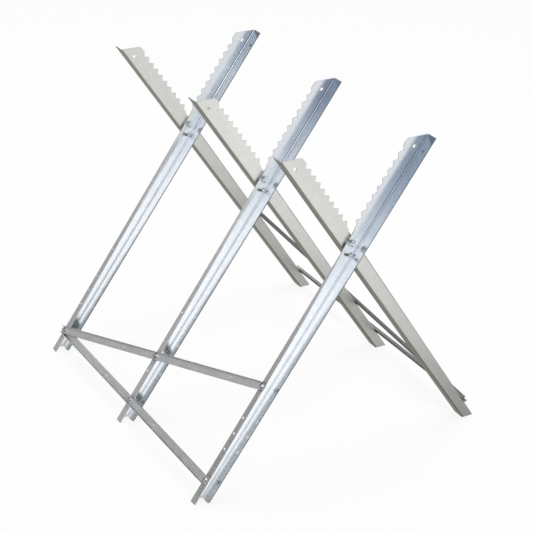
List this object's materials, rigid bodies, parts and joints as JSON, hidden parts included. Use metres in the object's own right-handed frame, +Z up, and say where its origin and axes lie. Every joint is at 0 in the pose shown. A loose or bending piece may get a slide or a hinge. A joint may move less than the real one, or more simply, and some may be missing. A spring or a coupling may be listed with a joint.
{
  "type": "folding log saw horse",
  "caption": "Folding saw horse for logs: crossed pairs of toothed, folded sheet-steel legs on pivot bolts, with slotted opening stops, foot braces and diagonal braces, galvanised.",
  "frame": {"origin": "on the ground, in the middle of the footprint", "axes": "+Z up, +Y along the row of leg pairs from the front pair to the back pair, near legs' feet towards -X"},
  "size_m": [0.7974, 0.846, 0.7941],
  "materials": {
    "leg_steel": "bright galvanised sheet steel",
    "brace_steel": "dull galvanised sheet steel",
    "bolt_zinc": "bright zinc plated steel"
  },
  "bodies": {
    "near_side": {"leg_near_back": "leg_steel", "leg_near_middle": "leg_steel", "leg_near_front": "leg_steel", "foot_brace_near": "brace_steel", "diagonal_brace_near": "brace_steel", "brace_bolt_near_back": "bolt_zinc", "brace_nut_near_back": "bolt_zinc", "brace_bolt_near_middle_foot": "bolt_zinc", "brace_nut_near_middle_foot": "bolt_zinc", "brace_bolt_near_middle_diagonal": "bolt_zinc", "brace_nut_near_middle_diagonal": "bolt_zinc", "brace_bolt_near_front_foot": "bolt_zinc", "brace_nut_near_front_foot": "bolt_zinc", "brace_bolt_near_front_diagonal": "bolt_zinc", "brace_nut_near_front_diagonal": "bolt_zinc", "pivot_bolt_back": "bolt_zinc", "pivot_nut_back": "bolt_zinc", "pivot_spacer_back": "bolt_zinc", "pivot_bolt_middle": "bolt_zinc", "pivot_nut_middle": "bolt_zinc", "pivot_spacer_middle": "bolt_zinc", "pivot_bolt_front": "bolt_zinc", "pivot_nut_front": "bolt_zinc", "pivot_spacer_front": "bolt_zinc"},
    "far_side": {"leg_far_front": "leg_steel", "leg_far_middle": "leg_steel", "leg_far_back": "leg_steel", "foot_brace_far": "brace_steel", "diagonal_brace_far": "brace_steel", "brace_bolt_far_front": "bolt_zinc", "brace_nut_far_front": "bolt_zinc", "brace_bolt_far_middle_foot": "bolt_zinc", "brace_nut_far_middle_foot": "bolt_zinc", "brace_bolt_far_middle_diagonal": "bolt_zinc", "brace_nut_far_middle_diagonal": "bolt_zinc", "brace_bolt_far_back_foot": "bolt_zinc", "brace_nut_far_back_foot": "bolt_zinc", "brace_bolt_far_back_diagonal": "bolt_zinc", "brace_nut_far_back_diagonal": "bolt_zinc"},
    "stop_pin_back": {"stop_pin_back": "bolt_zinc"},
    "stop_pin_middle": {"stop_pin_middle": "bolt_zinc"},
    "stop_pin_front": {"stop_pin_front": "bolt_zinc"}
  },
  "joints": [
    {"name": "fold", "type": "hinge", "parent": "near_side", "child": "far_side", "pos_m": [0, 0, 0.565], "axis": [0, 1, 0], "range_deg": [0, 66]},
    {"name": "stop_travel_back", "type": "hinge", "parent": "near_side", "child": "stop_pin_back", "pos_m": [0, 0.39, 0.565], "axis": [0, 1, 0], "range_deg": [0, 33]},
    {"name": "stop_travel_middle", "type": "hinge", "parent": "near_side", "child": "stop_pin_middle", "pos_m": [0, 0, 0.565], "axis": [0, 1, 0], "range_deg": [0, 33]},
    {"name": "stop_travel_front", "type": "hinge", "parent": "near_side", "child": "stop_pin_front", "pos_m": [0, -0.39, 0.565], "axis": [0, 1, 0], "range_deg": [0, 33]}
  ],
  "couplings": [
    {"joint": "stop_travel_back", "follows": "fold", "ratio": 0.5},
    {"joint": "stop_travel_middle", "follows": "fold", "ratio": 0.5},
    {"joint": "stop_travel_front", "follows": "fold", "ratio": 0.5}
  ]
}
